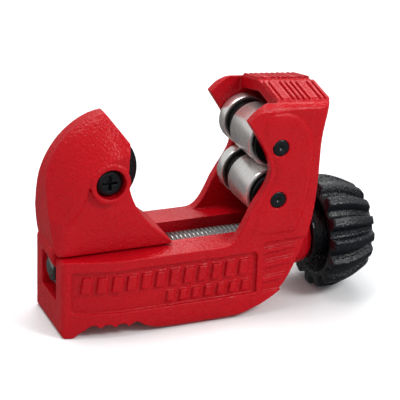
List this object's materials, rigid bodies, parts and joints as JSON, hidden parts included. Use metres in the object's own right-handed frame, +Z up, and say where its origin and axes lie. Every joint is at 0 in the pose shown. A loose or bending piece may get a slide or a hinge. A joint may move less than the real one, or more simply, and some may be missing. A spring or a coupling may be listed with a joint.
{
  "type": "pipe cutter",
  "caption": "Compact C-shaped hand tube cutter: a knob-driven screw moves a slide with a cutting wheel towards guide rollers in a ribbed, open-jawed frame",
  "frame": {"origin": "on the underside plane, at the centre of the bounding box in X and Y", "axes": "+X along the feed spindle towards the knob, +Y across the tool along the roller pins, +Z up from the flat underside to the ribbed cap of the head"},
  "size_m": [0.075, 0.0256, 0.0505],
  "materials": {
    "red_enamel": "semi-gloss enamel on a die casting, slight orange peel",
    "black_steel": "black oxide",
    "polished_steel": "polished, turned",
    "bright_steel": "bright zinc",
    "black_plastic": "grained, dull"
  },
  "bodies": {
    "frame": {"body": "red_enamel", "roller_pin_lower": "black_steel", "roller_pin_upper": "black_steel"},
    "roller_low": {"guide_roller_lower": "polished_steel"},
    "roller_high": {"guide_roller_upper": "polished_steel"},
    "feed": {"spindle": "bright_steel", "spindle_end_washer": "bright_steel", "spindle_end_clip": "black_steel", "thrust_washer": "black_steel", "knob": "black_plastic", "knob_cross_pin": "bright_steel"},
    "jaw": {"slide": "red_enamel", "wheel_axle_screw": "black_steel"},
    "wheel": {"cutting_wheel": "black_steel"}
  },
  "joints": [
    {"name": "spindle_turn", "type": "hinge", "parent": "frame", "child": "feed", "pos_m": [0, 0, 0.0129], "axis": [-1, 0, 0], "range_deg": [0, 7920]},
    {"name": "slide_travel", "type": "slide", "parent": "frame", "child": "jaw", "axis": [1, 0, 0], "range_m": [0, 0.0221]},
    {"name": "wheel_spin", "type": "hinge", "parent": "jaw", "child": "wheel", "pos_m": [-0.025, 0, 0.0335], "axis": [0, 1, 0], "continuous": true},
    {"name": "roller_low_spin", "type": "hinge", "parent": "frame", "child": "roller_low", "pos_m": [0.0116, 0, 0.02695], "axis": [0, 1, 0], "continuous": true},
    {"name": "roller_high_spin", "type": "hinge", "parent": "frame", "child": "roller_high", "pos_m": [0.0116, 0, 0.0388], "axis": [0, 1, 0], "continuous": true}
  ],
  "couplings": [
    {"joint": "slide_travel", "follows": "spindle_turn", "m_per_rad": 0.00015915}
  ]
}
